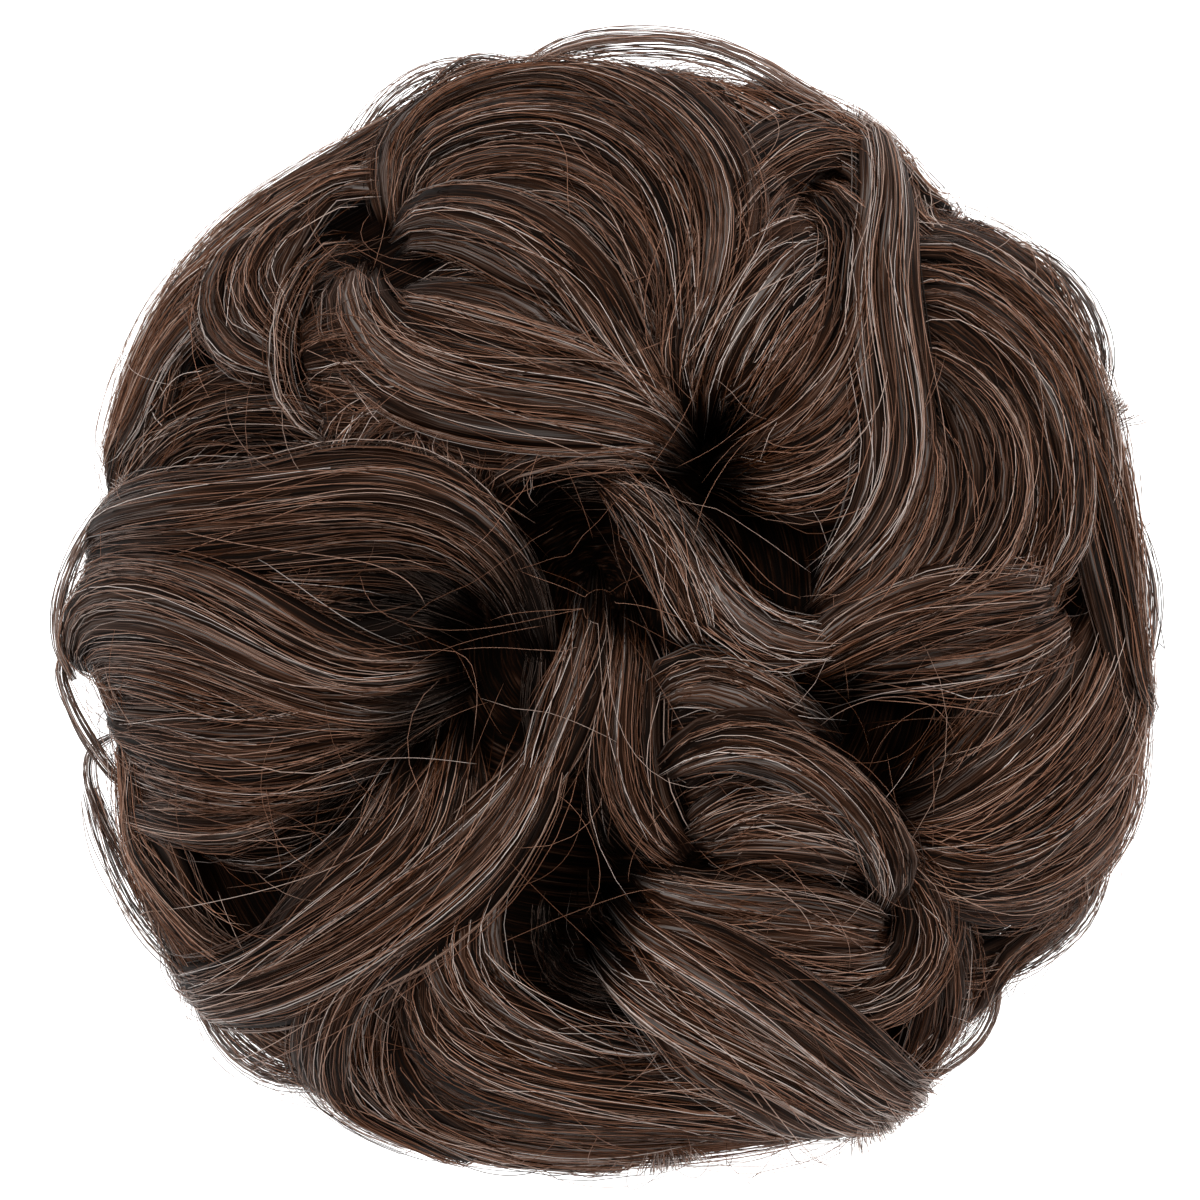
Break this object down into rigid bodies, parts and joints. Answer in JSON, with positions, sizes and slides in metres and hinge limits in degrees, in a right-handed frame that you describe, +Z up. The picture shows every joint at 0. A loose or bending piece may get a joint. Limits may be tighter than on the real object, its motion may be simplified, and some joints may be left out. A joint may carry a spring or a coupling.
{
  "type": "top knot hairpiece",
  "caption": "Round messy bun of curled locks on an elastic band, with a hollow underneath for the wearer's own bun.",
  "frame": {"origin": "on the surface it rests on, below the middle of the bun", "axes": "+Z up out of the crown of the bun, +Y away from the viewer as pictured from above (the picture's top edge), +X to the viewer's right"},
  "size_m": [0.1496, 0.1533, 0.0648],
  "materials": {
    "curled_fibre": "glossy curled hair fibre, dark brown with auburn and grey-brown locks",
    "stretch_fabric": "matt dark brown elastic ribbon"
  },
  "bodies": {
    "root": {"hair_locks": "curled_fibre", "elastic_band": "stretch_fabric"}
  },
  "joints": []
}
